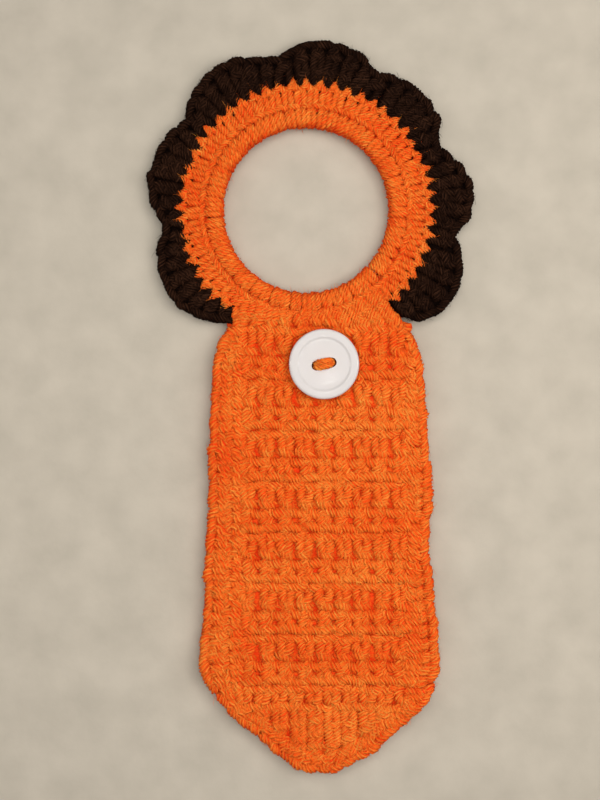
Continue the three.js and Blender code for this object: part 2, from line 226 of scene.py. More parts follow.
    def pad(self, strip, s0, s1, y0, y1, z0=-1.0, z1=1.0, tone=-1.0):
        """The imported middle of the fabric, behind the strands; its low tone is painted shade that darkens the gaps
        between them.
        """
        ns, ny = max(2, int((s1 - s0) * 3)), max(3, int((y1 - y0) / 1.1))
        S, Y = np.meshgrid(np.linspace(s0, s1, ns), np.linspace(y0, y1, ny), indexing="ij")
        sheets = []
        for z in (z1, z0):
            wob = 0.25 * np.sin(S * 6.3 + Y * 0.9) * np.sign(z)
            sheets.append(strip.at(S.ravel(), Y.ravel(), (z + wob).ravel(), frac=True))
        V = np.vstack(sheets)
        g = np.arange(ns * ny).reshape(ns, ny)
        quads = []
        for k, flip in ((0, False), (ns * ny, True)):
            q = np.stack([g[:-1, :-1], g[1:, :-1], g[1:, 1:], g[:-1, 1:]], -1).reshape(-1, 4) + k
            quads.append(q[:, ::-1] if flip else q)
        rim = np.concatenate([g[:, 0], g[-1, 1:], g[-2::-1, -1], g[0, -2:0:-1]])
        a, b = rim, np.roll(rim, -1)
        quads.append(np.stack([b, a, a + ns * ny, b + ns * ny], -1))
        self.Q.append(np.vstack(quads) + self.n)
        self.V.append(V)
        self.strand.append(V * 1.0)
        self.ply.append(np.tile([1.0, 0.0, 0.0], (len(V), 1)))
        # the pad's low tone darkens it: painted shade
        self.tone.append(np.full(len(V), tone))
        self.n += len(V)

    def object(self, name, material):
        V = np.vstack(self.V) * 0.001
        Q = np.vstack(self.Q)
        T = np.vstack(self.Tr) if self.Tr else np.zeros((0, 3), int)
        me = bpy.data.meshes.new(name)
        me.vertices.add(len(V))
        me.vertices.foreach_set("co", V.astype(np.float32).ravel())
        me.loops.add(Q.size + T.size)
        me.loops.foreach_set("vertex_index", np.concatenate([Q.ravel(), T.ravel()]).astype(np.int32))
        me.polygons.add(len(Q) + len(T))
        me.polygons.foreach_set("loop_start", np.concatenate([np.arange(len(Q)) * 4, Q.size + np.arange(len(T)) * 3]).astype(np.int32))
        me.update(calc_edges=True)
        me.polygons.foreach_set("use_smooth", np.ones(len(me.polygons), bool))
        a = me.attributes.new("strand", "FLOAT_VECTOR", "POINT")
        a.data.foreach_set("vector", np.vstack(self.strand).astype(np.float32).ravel())
        a = me.attributes.new("ply", "FLOAT_VECTOR", "POINT")
        a.data.foreach_set("vector", np.vstack(self.ply).astype(np.float32).ravel())
        a = me.attributes.new("tone", "FLOAT", "POINT")
        # painted shade and highlight: the tone drops for vertices near the fabric's middle plane, in the recesses and
        # gaps, and rises a little on the outermost crests
        depth = np.abs(np.vstack(self.V)[:, 2] - MID)
        tone = np.concatenate(self.tone) + np.clip((depth / 2.6 - 0.95) * 1.5, -1.2, 0.3)
        a.data.foreach_set("value", tone.astype(np.float32))
        me.materials.append(material)
        ob = bpy.data.objects.new(name, me)
        bpy.context.scene.collection.objects.link(ob)
        return ob


class Strip:
    """A run of stitches between a base line and a top line, both given at whole stitches."""

    def __init__(self, base, top, face=1, zs=0.74, z0=None):
        self.base, self.top, self.face, self.zs = np.asarray(base, float), np.asarray(top, float), face, zs
        self.z0 = MID if z0 is None else z0

    def _curve(self, c, s):
        n = len(c) - 1
        s = np.asarray(s, float)
        i = np.clip(np.floor(s).astype(int), 0, n - 1)
        f = (s - i)[..., None]
        return c[i] * (1 - f) + c[i + 1] * f

    def height(self, s):
        return np.linalg.norm(self._curve(self.top, s) - self._curve(self.base, s), axis=-1)

    def at(self, s, y, z, frac=False):
        B, Tp = self._curve(self.base, s), self._curve(self.top, s)
        h = np.linalg.norm(Tp - B, axis=-1)
        f = np.asarray(y)[..., None] if frac and np.max(y) <= 1.5 else (np.asarray(y) / h)[..., None]
        xy = B + (Tp - B) * f
        return np.concatenate([xy, (self.z0 + self.face * np.asarray(z) * self.zs)[..., None]], -1)


# Stitches: control points along the yarn, as (across in stitches, up in mm, out in mm[, thickness]).
# The yarn arrives from the stitch before, on its right, and leaves to the left.
def sc(h):
    return [(0.9, h - 0.8, -1.4), (0.45, 0.5 * h, -2.2), (0.2, 0.6, -1.9), (0.16, -0.5, -0.3), (0.22, 0.4, 1.3),
            (0.26, 0.4 * h, 2.0), (0.17, 0.75 * h, 1.8), (0, h - 0.8, 0.7), (-0.14, 0.72 * h, 1.7), (-0.25, 0.38 * h, 2.0),
            (-0.22, 0.4, 1.3), (-0.16, -0.5, -0.3), (-0.2, 0.6, -1.9), (-0.15, 0.5 * h, -2.1), (-0.1, h - 1.2, -0.4),
            (-0.3, h + 0.4, 1.5), (-0.8, h + 0.7, 1.8), (-1.2, h + 0.3, 0.4), (-0.9, h + 0.2, -1.3), (-0.4, h, -1.4)]


def wrap(h):
    """Over the hard ring: both legs go round its inner side."""
    return [(0.9, h - 0.8, -1.4), (0.4, 0.5 * h, -2.4), (0.2, 0.9, -2.1), (0.2, -0.15, -0.7), (0.22, 0.0, 0.8), (0.24, 0.9, 2.1),
            (0.26, 0.5 * h, 2.5), (0.17, h - 1.6, 1.9), (0, h - 0.8, 0.7), (-0.14, h - 1.7, 1.8), (-0.24, 0.5 * h, 2.5),
            (-0.24, 0.9, 2.1), (-0.22, 0.0, 0.8), (-0.2, -0.15, -0.7), (-0.2, 0.9, -2.1), (-0.15, 0.5 * h, -2.3), (-0.1, h - 1.2, -0.4),
            (-0.3, h + 0.3, 1.6), (-0.8, h + 0.6, 1.9), (-1.2, h + 0.3, 0.4), (-0.9, h + 0.2, -1.3), (-0.4, h, -1.4)]


def spike(h):
    return [(0.9, h - 0.8, -1.4), (0.45, 0.5 * h, -2.2), (0.2, 0.6, -1.9), (0.16, -0.5, -0.3), (0.22, 0.4, 1.3),
            (0.27, 0.4 * h, 2.0), (0.18, 0.75 * h, 1.8), (0, h - 1.0, 0.7), (-0.14, 0.72 * h, 1.7), (-0.25, 0.38 * h, 2.0),
            (-0.22, 0.4, 1.3), (-0.16, -0.5, -0.3), (-0.2, 0.6, -1.9), (-0.15, 0.5 * h, -2.1), (-0.1, h - 1.6, -0.4),
            (-0.25, h - 1.2, 1.9, 1.05), (-0.38, h - 0.2, 2.3, 0.95), (-0.5, h + 2.9, 2.2, 0.38), (-0.62, h - 0.2, 2.3, 0.95), (-0.8, h - 1.2, 1.9, 1.0), (-1.15, h - 0.8, 0.4),
            (-0.9, h - 0.3, -1.3), (-0.4, h - 0.4, -1.4)]


def hdc(h):
    return [(0.95, h - 1.6, -1.4), (0.6, h - 3.2, -2.4), (0.1, h - 3.5, -2.6), (-0.3, h - 2.2, -0.6), (-0.2, h - 1.9, 1.7), (0.1, h - 2.9, 2.2),
            (0.28, h - 3.6, 0.4), (0.16, 0.45 * h, -1.7), (0.05, 0.3, -1.3), (0.12, -0.8, 0.1), (0.23, 0.7, 1.4),
            (0.25, 0.34 * h, 2.0), (0.14, 0.66 * h, 1.8), (0.02, h - 1.0, 0.6), (-0.10, 0.64 * h, 1.7), (-0.21, 0.32 * h, 2.0),
            (-0.20, 0.6, 1.4), (-0.10, -0.6, 0), (-0.10, 0.6, -1.5), (-0.17, 0.45 * h, -2.0), (-0.1, h - 2.4, -0.9),
            (-0.05, h - 1.0, 0.2), (-0.28, h + 0.9, 1.7), (-0.8, h + 1.5, 2.1), (-1.2, h + 0.9, 0.8), (-0.9, h + 0.4, -1.6),
            (-0.45, h + 0.3, -1.8)]


def tall(h):
    wraps = []
    k = max(1, int(round((h - 4) / 6.5)))
    for w in range(k):
        y = h - 3.2 - w * (h - 5) / k
        wraps += [(0.3, y, -1.5), (0.38, y - 0.5, 0.8), (0.0, y - 1.3, 2.5), (-0.38, y - 2.1, 0.8), (-0.3, y - 2.6, -1.5)]
    return ([(0.9, h - 0.8, -1.4)] + wraps +
            [(0.1, 0.8, -1.6), (0.15, -0.5, -0.3), (0.2, 0.5, 1.3), (0.24, 0.3 * h, 1.9), (0.2, 0.65 * h, 1.9), (0.14, h - 1.9, 1.7),
             (0, h - 0.9, 0.7), (-0.14, h - 1.9, 1.6), (-0.2, 0.65 * h, 1.9), (-0.24, 0.3 * h, 1.9), (-0.18, 0.5, 1.2), (-0.14, -0.5, -0.3),
             (-0.16, 0.35 * h, -1.9), (-0.12, 0.7 * h, -1.9), (-0.1, h - 1.2, -0.4),
             (-0.3, h + 0.3, 1.5), (-0.8, h + 0.6, 1.8), (-1.2, h + 0.3, 0.4), (-0.9, h + 0.2, -1.2), (-0.4, h, -1.4)])


def run(yarn, strip, kinds, start=0, R=1.3, jitter=0.33, **kw):
    """One worked length: a stitch function for each stitch along the strip."""
    pts = []
    for i, kind in enumerate(kinds):
        c = start + i + 0.5
        h = float(strip.height(c))
        q = np.array([p if len(p) == 4 else (*p, 1.0) for p in kind(h)])
        q[:, 1] += rng.normal(0, jitter, len(q))
        q[:, 2] += rng.normal(0, jitter * 0.7, len(q)) + rng.normal(0, 0.15)
        q[:, 0] += rng.normal(0, jitter * 0.12, len(q)) + rng.normal(0, 0.04) + rng.normal(0, 0.04) * (q[:, 1] / h - 0.5)
        ends = len(strip.base) - 1
        s = np.clip(c - q[:, 0], -0.1, ends + 0.1)
        q[:, 1] += (strip.height(np.clip(s, 0, ends)) - h) * np.clip(q[:, 1] / h, 0, 1.15)
        pts.append(np.hstack([strip.at(s, q[:, 1], q[:, 2]), q[:, 3:]]))
    P = np.vstack(pts)
    # the fabric is pressed in a little under the button, which leaves it room to rock
    near = np.clip((17.0 - np.hypot(P[:, 0] - BX, P[:, 1] - BY)) / 3.0, 0, 1)
    P[:, 2] -= 0.95 * near * np.clip(P[:, 2] - MID, 0, 1)
    yarn.add(P, R=R, tone=rng.normal(0, 0.12), **kw)


# ------------------------------------------------------------------ materials
def node(nt, kind, x=0, y=0, **values):
    n = nt.nodes.new(kind)
    n.location = (x, y)
    for k, v in values.items():
        if hasattr(n, k):
            setattr(n, k, v)
        else:
            n.inputs[k.replace("_", " ")].default_value = v
    return n


def calc(nt, operation, *args):
    n = nt.nodes.new("ShaderNodeMath")
    n.operation = operation
    for i, v in enumerate(args):
        if isinstance(v, (int, float)):
            n.inputs[i].default_value = v
        else:
            nt.links.new(v, n.inputs[i])
    return n.outputs[0]


def yarn_material(name, deep, mid, light, sheen, sheen_tint, rough=0.62, spec=0.12, bump=0.7, glow=None):
    m = bpy.data.materials.new(name)
    m.use_nodes = True
    nt = m.node_tree
    nt.nodes.clear()
    L = nt.links.new
    out = node(nt, "ShaderNodeOutputMaterial", 900)
    bsdf = node(nt, "ShaderNodeBsdfPrincipled", 600)
    bsdf.inputs["Roughness"].default_value = rough
    bsdf.inputs["Specular IOR Level"].default_value = spec
    bsdf.inputs["Sheen Weight"].default_value = sheen
    bsdf.inputs["Sheen Roughness"].default_value = 0.5
    bsdf.inputs["Sheen Tint"].default_value = sheen_tint
    if glow:
        bsdf.inputs["Subsurface Weight"].default_value = glow[0]
        bsdf.inputs["Subsurface Radius"].default_value = glow[1]
        bsdf.inputs["Subsurface Scale"].default_value = 1.0
    L(bsdf.outputs[0], out.inputs[0])

    def noise(vector, scale, detail, mapping=None, rough_=0.6):
        if mapping:
            mp = node(nt, "ShaderNodeMapping")
            mp.inputs["Scale"].default_value = mapping
            L(vector, mp.inputs["Vector"])
            vector = mp.outputs[0]
        n = node(nt, "ShaderNodeTexNoise")
        n.inputs["Scale"].default_value = scale
        n.inputs["Detail"].default_value = detail
        n.inputs["Roughness"].default_value = rough_
        L(vector, n.inputs["Vector"])
        return n.outputs[0]

    strand = node(nt, "ShaderNodeAttribute", attribute_name="strand").outputs["Vector"]
    tone = node(nt, "ShaderNodeAttribute", attribute_name="tone").outputs["Fac"]
    ply = node(nt, "ShaderNodeSeparateXYZ")
    L(node(nt, "ShaderNodeAttribute", attribute_name="ply").outputs["Vector"], ply.inputs[0])
    place = node(nt, "ShaderNodeTexCoord").outputs["Object"]
    fibre = noise(strand, 1.0, 3.0, (0.22, 1.5, 1.5), 0.7)
    fine = noise(strand, 1.0, 3.0, (0.7, 7.0, 7.0), 0.7)
    patch = noise(place, 85.0, 2.0)
    angle = calc(nt, "ARCTAN2", ply.outputs[1], ply.outputs[0])
    wave = calc(nt, "COSINE", calc(nt, "MULTIPLY_ADD", fibre, 5.0, calc(nt, "MULTIPLY", angle, 14.0)))
    f = calc(nt, "MULTIPLY_ADD", calc(nt, "SUBTRACT", fibre, 0.5), 1.5, 0.5)
    f = calc(nt, "MULTIPLY_ADD", wave, 0.09, f)
    f = calc(nt, "MULTIPLY_ADD", calc(nt, "SUBTRACT", fine, 0.5), 0.5, f)
    f = calc(nt, "MULTIPLY_ADD", calc(nt, "SUBTRACT", patch, 0.5), 0.45, f)
    # painted shade: darker in the grooves between plies
    f = calc(nt, "MULTIPLY_ADD", ply.outputs[2], 0.22, f)
    # tone: random tone per strand, plus painted shade in recesses, gaps and pads, and painted highlight on crests and
    # loose fibres
    f = calc(nt, "MULTIPLY_ADD", tone, 0.20, f)
    ramp = node(nt, "ShaderNodeValToRGB")
    r = ramp.color_ramp
    r.elements[0].position, r.elements[0].color = 0.12, (*deep, 1)
    r.elements[1].position, r.elements[1].color = 0.82, (*light, 1)
    e = r.elements.new(0.45)
    e.color = (*mid, 1)
    L(f, ramp.inputs[0])
    L(ramp.outputs[0], bsdf.inputs["Base Color"])
    h = calc(nt, "MULTIPLY_ADD", wave, 0.25, fine)
    b = node(nt, "ShaderNodeBump")
    b.inputs["Strength"].default_value = bump
    b.inputs["Distance"].default_value = 0.00035
    L(h, b.inputs["Height"])
    L(b.outputs[0], bsdf.inputs["Normal"])
    return m


ORANGE = yarn_material("orange_yarn", (0.83, 0.044, 0.002), (0.90, 0.139, 0.009), (0.99, 0.335, 0.050), 0.04, (1.0, 0.6, 0.3, 1), glow=(0.12, (0.0012, 0.0006, 0.0003)))
BROWN = yarn_material("brown_yarn", (0.005, 0.0015, 0.0007), (0.0145, 0.0048, 0.0021), (0.060, 0.024, 0.012), 0.0, (0.6, 0.42, 0.3, 1), rough=0.75, spec=0.05)


def finish_piece(ob, slot, nodes, body=None, blend=None):
    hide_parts(*nodes)
    if blend:
        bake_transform(ob)
    else:
        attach(ob, body)
    return ob


# ------------------------------------------------------------------ strap
N = 9
YR = 2.25


def row_strip(k):
    top_y, bot_y = LINE[k], LINE[k + 1]
    xs = np.linspace(XL - 0.5, XR + 0.5, N + 1)
    if k % 2 == 0:  # front of the stitches shows
        return Strip(np.stack([xs, np.full(N + 1, top_y)], 1), np.stack([xs, np.full(N + 1, bot_y)], 1), 1)
    xs = xs[::-1]
    return Strip(np.stack([xs, np.full(N + 1, top_y)], 1), np.stack([xs, np.full(N + 1, bot_y)], 1), -1)


def body_at(k):
    """CAD body that row k belongs to."""
    return "strap_base" if k < 8 else "fold_%d" % min(k - 7, 6)


def row_motion(k):
    if k == 2:
        return dict(blend=("ring", "strap_base", (0, LINE[2] + 5.2, MID), (0, LINE[2] - 5.2, MID)))
    if 8 <= k <= 13:
        return dict(blend=(body_at(k - 1), body_at(k), (0, LINE[k] + 0.3, MID), (0, LINE[k + 1] + 0.6, MID)))
    return dict(body=body_at(k))


for k in range(2, 16):
    y = Yarn()
    st = row_strip(k)
    run(y, st, [hdc] * N, R=YR)
    y.pad(st, 0.05, N - 0.05, 0.0, 1.0, -1.9, 1.9, tone=-0.6)
    finish_piece(y.object("row_%02d" % k, ORANGE), "main_yarn", ["strap_row_%02d" % k], **row_motion(k))

# row 1, worked into the ring
ARC_R, ARC_L = 139.0, 215.0
n1 = 11
ang = np.linspace(ARC_L, ARC_R, n1 + 1)
base = polar(41.4, ang)
tx = np.linspace(edge_x(LINE[2], 0) + 2.2, edge_x(LINE[2], 1) - 2.9, n1 + 1)
top = np.stack([tx, np.full(n1 + 1, LINE[2] + 0.2)], 1)
y = Yarn()
st = Strip(base, top, 1)
run(y, st, [tall if st.height(i + 0.5) > 8.5 else hdc if st.height(i + 0.5) > 6 else sc for i in range(n1)], R=YR)
y.pad(st, 0.05, n1 - 0.05, 0.0, 1.0, -1.5, 1.5, tone=-0.6)
finish_piece(y.object("row_01", ORANGE), "main_yarn", ["strap_row_01"], blend=("ring", "strap_base", (0, LINE[2] + 5.2, MID), (0, LINE[2] - 5.2, MID)))

# edge strips: two stitches to each row, down the left and up the right
EDGE_STEPS = 28
edge_y = np.concatenate([np.linspace(LINE[k], LINE[k + 1], 3)[:-1] for k in range(2, 16)] + [[LINE[16]]])


def edge_strip(side, a, b):
    """From share a to share b of the way from the rows to the outline."""
    ys = edge_y[::-1] if side else edge_y
    inner = np.full(len(ys), XR - 0.9 if side else XL + 0.9)
    out = edge_x(ys, side) + (-3.2 - 1.0 * np.clip((ys - LINE[2] + 5.5) / 5.5, 0, 1) if side else 2.9)
    return Strip(np.stack([inner + (out - inner) * a, ys], 1), np.stack([inner + (out - inner) * b, ys], 1), 1)


EDGES = {0: [edge_strip(0, 0.0, 0.44), edge_strip(0, 0.46, 1.0)], 1: [edge_strip(1, 0.0, 1.0)]}


def edge_piece(name, nodes, side, k0, k1, **motion):
    """Rows k0 up to k1 of one edge."""
    y = Yarn()
    for st in EDGES[side]:
        i0, i1 = 2 * (k0 - 2), 2 * (k1 - 2)
        if side:
            i0, i1 = EDGE_STEPS - i1, EDGE_STEPS - i0
        run(y, st, [hdc if st.height(i + 0.5) > 7.0 else sc for i in range(i0, i1)], start=i0, R=YR)
        y.pad(st, i0, i1, 0.0, 1.0, -1.6, 1.6, tone=-0.6)
    finish_piece(y.object(name, ORANGE), "main_yarn", nodes, **motion)


for side, word in ((0, "left"), (1, "right")):
    edge_piece("edge_%s_neck" % word, ["strap_edge_%s_base" % word], side, 2, 3, **row_motion(2))
    edge_piece("edge_%s_base" % word, ["strap_edge_%s_base" % word], side, 3, 8, body="strap_base")
    for k in range(8, 13):
        edge_piece("edge_%s_%02d" % (word, k), ["strap_edge_%s_%02d" % (word, k)], side, k, k + 1, **row_motion(k))
    edge_piece("edge_%s_13" % word, ["strap_edge_%s_13_15" % word], side, 13, 14, **row_motion(13))
    edge_piece("edge_%s_14_15" % word, ["strap_edge_%s_13_15" % word], side, 14, 16, body="fold_6")

# pointed tip
TIP_BLEND = ("fold_6", "tip", (0, LINE[16] + 3.5, MID), (0, LINE[16] - 5.5, MID))
SLITX = 5.3 + SX
Y17 = LINE[16] - 6.8
INNER = np.array([[-31.0, -112.6], [-29.0, -118.0], [-24.0, -122.8], [-16.4, -128.6], [-9.0, -134.8], [-1.0, -139.6], [5.3, -140.8],
                  [8.6, -140.2], [19.0, -134.8], [26.6, -128.6], [33.4, -122.8], [38.6, -118.0], [40.6, -112.6]]) + [SX, SY]


def inner_y(x):
    return np.interp(x, INNER[:, 0], INNER[:, 1])


for word, xa, xb, n, sgn in (("left", INNER[0, 0] + 0.5, SLITX - 0.1, 5, 1), ("right", SLITX + 0.1, INNER[-1, 0] - 0.5, 5, 1)):
    y = Yarn()
    xs = np.linspace(xa, xb, n + 1)
    short = Strip(np.stack([xs, np.full(n + 1, LINE[16])], 1), np.stack([xs, np.full(n + 1, Y17)], 1), 1)
    run(y, short, [sc] * n, R=YR)
    y.pad(short, 0.03, n - 0.03, 0, 1, -1.6, 1.6, tone=-0.6)
    xs2 = xs * 0.97 + SLITX * 0.03
    tops = np.minimum(inner_y(xs2), Y17 - 2.2)
    fan = Strip(np.stack([xs, np.full(n + 1, Y17)], 1), np.stack([xs2, tops], 1), 1)
    run(y, fan, [tall if fan.height(i + 0.5) > 7 else sc for i in range(n)], R=YR)
    y.pad(fan, 0.03, n - 0.03, 0, 1, -1.6, 1.6, tone=-0.6)
    finish_piece(y.object("tip_%s" % word, ORANGE), "main_yarn", ["tip_stitches_%s" % word], blend=TIP_BLEND)

left = [(o[1], o[0]) for o in OUTLINE if o[0] <= LINE[16] + 0.3]
right = [(o[2], o[0]) for o in OUTLINE if o[0] <= LINE[16] + 0.3][::-1]
outer = np.array(left + right)


def along(curve, n):
    s = np.concatenate([[0], np.cumsum(np.linalg.norm(np.diff(curve, axis=0), axis=1))])
    u = np.linspace(0, s[-1], n + 1)
    return np.stack([np.interp(u, s, curve[:, i]) for i in range(2)], 1)


n = 20
o = along(outer, n)
i = along(INNER, n)
dirn = (o - i) / np.linalg.norm(o - i, axis=1, keepdims=True)
y = Yarn()
st = Strip(i - dirn * 1.2, o - dirn * 2.5, 1)
run(y, st, [sc] * n, R=YR)
y.pad(st, 0.0, n, 0.0, 0.92)
finish_piece(y.object("tip_chain", ORANGE), "main_yarn", ["tip_edge"], blend=TIP_BLEND)

# ------------------------------------------------------------------ ring
NR = 57
PA = 360 / NR
a = -np.arange(NR + 1) * PA  # counterclockwise
y = Yarn()
st = Strip(polar(34.5, a), polar(41.2, a), 1, zs=0.92)
run(y, st, [wrap] * NR, R=1.5, jitter=0.16)
y.pad(st, 0.0, NR, 0.72, 1.0)
finish_piece(y.object("ring_round_1", ORANGE), "main_yarn", ["ring_cover_round_1"], body="ring")

SC = [(-145.5, -97, [54.5, 60.5, 64.6, 64.8, 61.6, 56.2]), (-97, -54, [56.2, 61.5, 64.9, 64.7, 63.4, 59.6]),
      (-54, -12, [59.6, 65.0, 67.3, 67.8, 65.2, 61.6]), (-12, 27, [61.6, 66.0, 68.3, 68.4, 66.4, 61.8]),
      (27, 64, [61.8, 64.4, 66.4, 66.2, 63.8, 59.0]), (64, 99, [59.0, 62.8, 66.8, 68.4, 65.6, 60.6]),
      (99, 139, [60.6, 65.3, 68.8, 69.0, 66.0, 58.5])]
n2 = int(round((SC[6][1] + 1.5 - SC[0][0] + 0.5) / PA))
a = np.linspace(SC[6][1] + 1.5, SC[0][0] - 0.5, n2 + 1)
y = Yarn()
st = Strip(polar(41.6, a), polar(49.6, a), 1)
run(y, st, [spike] * n2, R=1.62, jitter=0.2)
y.pad(st, 0.0, n2, 0.0, 0.95)
finish_piece(y.object("ring_round_2", ORANGE), "main_yarn", ["ring_cover_round_2"], body="ring")

# the border: one round of stitches, low in the valleys and tall in the middle of each scallop
counts = [int(round((t - f) / PA)) for f, t, r in SC][::-1]
b_ang, b_rad = [], []
for (f, t, r), n in zip(SC[::-1], counts):
    u = np.linspace(0, 1, n + 1)[:-1]
    b_ang.append(t + (f - t) * u)
    b_rad.append(np.interp((1 - u) * (len(r) - 1), np.arange(len(r)), r))
root = [(t + f) / 2 + (q - (t + f) / 2) * 0.8 for q, (f, t, r), n in zip(b_ang, SC[::-1], counts)]
root = np.concatenate(root + [[SC[0][0]]])
root[0] = SC[6][1]
b_ang = np.concatenate(b_ang + [[SC[0][0]]])
b_rad = np.concatenate(b_rad + [[SC[0][2][0]]]) - 1.9
border = Strip(polar(np.full(len(b_ang), 48.4), root), polar(b_rad, b_ang), 1, z0=MID - 0.35)
start = 0
for i, n in zip(range(6, -1, -1), counts):
    f, t, r = SC[i]
    y = Yarn()
    run(y, border, [tall if border.height(j + 0.5) > 9 else hdc if border.height(j + 0.5) > 7 else sc for j in range(start, start + n)], start=start, R=1.85)
    y.pad(border, start, start + n, 0.0, 0.97)
    start += n
    mid = math.radians((f + t) / 2)
    d = 50.5 * math.cos(math.radians((t - f) / 2))
    u = (math.sin(mid), math.cos(mid))
    p = lambda q: (CX + u[0] * q, CY + u[1] * q, MID)
    finish_piece(y.object("border_scallop_%d" % (i + 1), BROWN), "border_yarn", ["scallop_%d" % (i + 1)],
                 blend=("ring", "scallop_%d" % (i + 1), p(d - 1.0), p(d + 5.0)))

# ------------------------------------------------------------------ button
def lathe(name, prof, seg, centre):
    bm = bmesh.new()
    rings = []
    for r, z in prof:
        if r < 1e-6:
            rings.append([bm.verts.new((centre[0], centre[1], z))])
        else:
            rings.append([bm.verts.new((centre[0] + r * math.cos(2 * math.pi * j / seg), centre[1] + r * math.sin(2 * math.pi * j / seg), z)) for j in range(seg)])
    for ra, rb in zip(rings, rings[1:]):
        for j in range(seg):
            k = (j + 1) % seg
            if len(ra) == 1:
                bm.faces.new((ra[0], rb[j], rb[k]))
            elif len(rb) == 1:
                bm.faces.new((ra[j], rb[0], ra[k]))
            else:
                bm.faces.new((ra[j], rb[j], rb[k], ra[k]))
    bmesh.ops.recalc_face_normals(bm, faces=bm.faces)
    me = bpy.data.meshes.new(name)
    bm.to_mesh(me)
    bm.free()
    ob = bpy.data.objects.new(name, me)
    bpy.context.scene.collection.objects.link(ob)
    return ob


Z0, Z1 = b_lo[2], b_hi[2]
TURN = math.radians(12)
PITCH = 6.2


def rounded(points, n=5):
    """Chaikin rounding of a profile that keeps its ends."""
    P = [np.array(p, float) for p in points]
    for _ in range(n):
        Q = [P[0]]
        for a_, b_ in zip(P, P[1:]):
            Q += [a_ * 0.75 + b_ * 0.25, a_ * 0.25 + b_ * 0.75]
        P = Q + [P[-1]]
    return P


prof = rounded([(0, Z0), (10.8, Z0), (13.3, Z0 + 0.5), (14.0, Z0 + 1.9), (13.7, Z1 - 0.25), (12.6, Z1), (11.0, Z1), (10.75, Z1 - 0.05),
                (10.15, Z1 - 0.32), (9.8, Z1 - 0.40), (5, Z1 - 0.44), (0, Z1 - 0.45)], 3)
button = lathe("sewn_button", [(r * 0.001, z * 0.001) for r, z in prof], 128, (BX * 0.001, BY * 0.001))
for sgn in (-1, 1):
    hx, hy = BX + sgn * PITCH / 2 * math.cos(TURN), BY + sgn * PITCH / 2 * math.sin(TURN)
    cut = lathe("cut", [(0, (Z0 - 2) * 0.001), (0.0019, (Z0 - 2) * 0.001), (0.0017, (Z0 + 1.0) * 0.001), (0.0021, (Z1 + 1) * 0.001), (0, (Z1 + 1) * 0.001)], 48, (hx * 0.001, hy * 0.001))
    mod = button.modifiers.new("hole", "BOOLEAN")
    mod.operation, mod.object, mod.solver = "DIFFERENCE", cut, "EXACT"
    bpy.context.view_layer.objects.active = button
    bpy.ops.object.modifier_apply(modifier="hole")
    bpy.data.objects.remove(cut)
bm = bmesh.new()
bm.from_mesh(button.data)
for e in bm.edges:
    e.smooth = len(e.link_faces) == 2 and e.calc_face_angle(0) < math.radians(32)
for f in bm.faces:
    f.smooth = True
bm.to_mesh(button.data)
bm.free()


def button_material():
    m = bpy.data.materials.new("white_button")
    m.use_nodes = True
    nt = m.node_tree
    bsdf = nt.nodes["Principled BSDF"]
    bsdf.inputs["IOR"].default_value = 1.5
    bsdf.inputs["Specular IOR Level"].default_value = 0.27
    bsdf.inputs["Subsurface Weight"].default_value = 0.15
    bsdf.inputs["Subsurface Radius"].default_value = (0.002, 0.0018, 0.0015)
    L = nt.links.new
    tc = node(nt, "ShaderNodeTexCoord", -900)
    n1_ = node(nt, "ShaderNodeTexNoise", -700)
    n1_.inputs["Scale"].default_value = 60.0
    n1_.inputs["Detail"].default_value = 4.0
    L(tc.outputs["Object"], n1_.inputs["Vector"])
    ramp = node(nt, "ShaderNodeValToRGB", -450)
    ramp.color_ramp.elements[0].position, ramp.color_ramp.elements[0].color = 0.3, (0.600, 0.580, 0.586, 1)
    ramp.color_ramp.elements[1].position, ramp.color_ramp.elements[1].color = 0.7, (0.635, 0.612, 0.618, 1)
    L(n1_.outputs[0], ramp.inputs[0])
    L(ramp.outputs[0], bsdf.inputs["Base Color"])
    n2_ = node(nt, "ShaderNodeTexNoise", -700, -300)
    n2_.inputs["Scale"].default_value = 900.0
    L(tc.outputs["Object"], n2_.inputs["Vector"])
    rr_ = node(nt, "ShaderNodeMapRange", -450, -300)
    rr_.inputs["To Min"].default_value = 0.04
    rr_.inputs["To Max"].default_value = 0.08
    L(n2_.outputs[0], rr_.inputs["Value"])
    L(rr_.outputs[0], bsdf.inputs["Roughness"])
    b = node(nt, "ShaderNodeBump", -200, -500)
    b.inputs["Strength"].default_value = 0.05
    b.inputs["Distance"].default_value = 0.0002
    L(n1_.outputs[0], b.inputs["Height"])
    L(b.outputs[0], bsdf.inputs["Normal"])
    return m


button.data.materials.append(button_material())
finish_piece(button, "button", ["button"], body="button")

# sewing yarn: two strands side by side through the holes
y = Yarn()
ca, sa = math.cos(TURN), math.sin(TURN)
for off in (-0.95, 0.95):
    pts = []
    a_ = PITCH / 2
    for x, z in ((-a_, Z0 + 0.2), (-a_, Z0 + 1.2), (-a_ + 0.05, Z1 - 0.9), (-a_ * 0.72, Z1 - 0.05), (-a_ * 0.3, Z1 + 0.5), (a_ * 0.3, Z1 + 0.5),
                 (a_ * 0.72, Z1 - 0.05), (a_ - 0.05, Z1 - 0.9), (a_, Z0 + 1.2), (a_, Z0 + 0.2)):
        o_ = off * (1.0 if abs(x) < a_ * 0.8 else 0.55)
        pts.append((BX + x * ca - o_ * sa, BY + x * sa + o_ * ca, z))
    y.add(pts, R=1.3, pitch=7.0)
finish_piece(y.object("button_stitch", ORANGE), "sewing_yarn", ["button_yarn"], body="button")

s_lo, s_hi = box("button_shank")
y = Yarn()
pts = []
for j in range(0, 60):
    t = j / 59
    an = t * 2 * math.pi * 3.2
    r = 1.4 + 1.3 * t
    pts.append((BX + r * math.cos(an), BY + r * math.sin(an), s_lo[2] - 0.4 + 1.3 * (0.5 - 0.5 * math.cos(t * 6.28))))
y.add(pts, R=0.85)
finish_piece(y.object("button_winding", ORANGE), "sewing_yarn", ["button_shank"], body="button_shank")

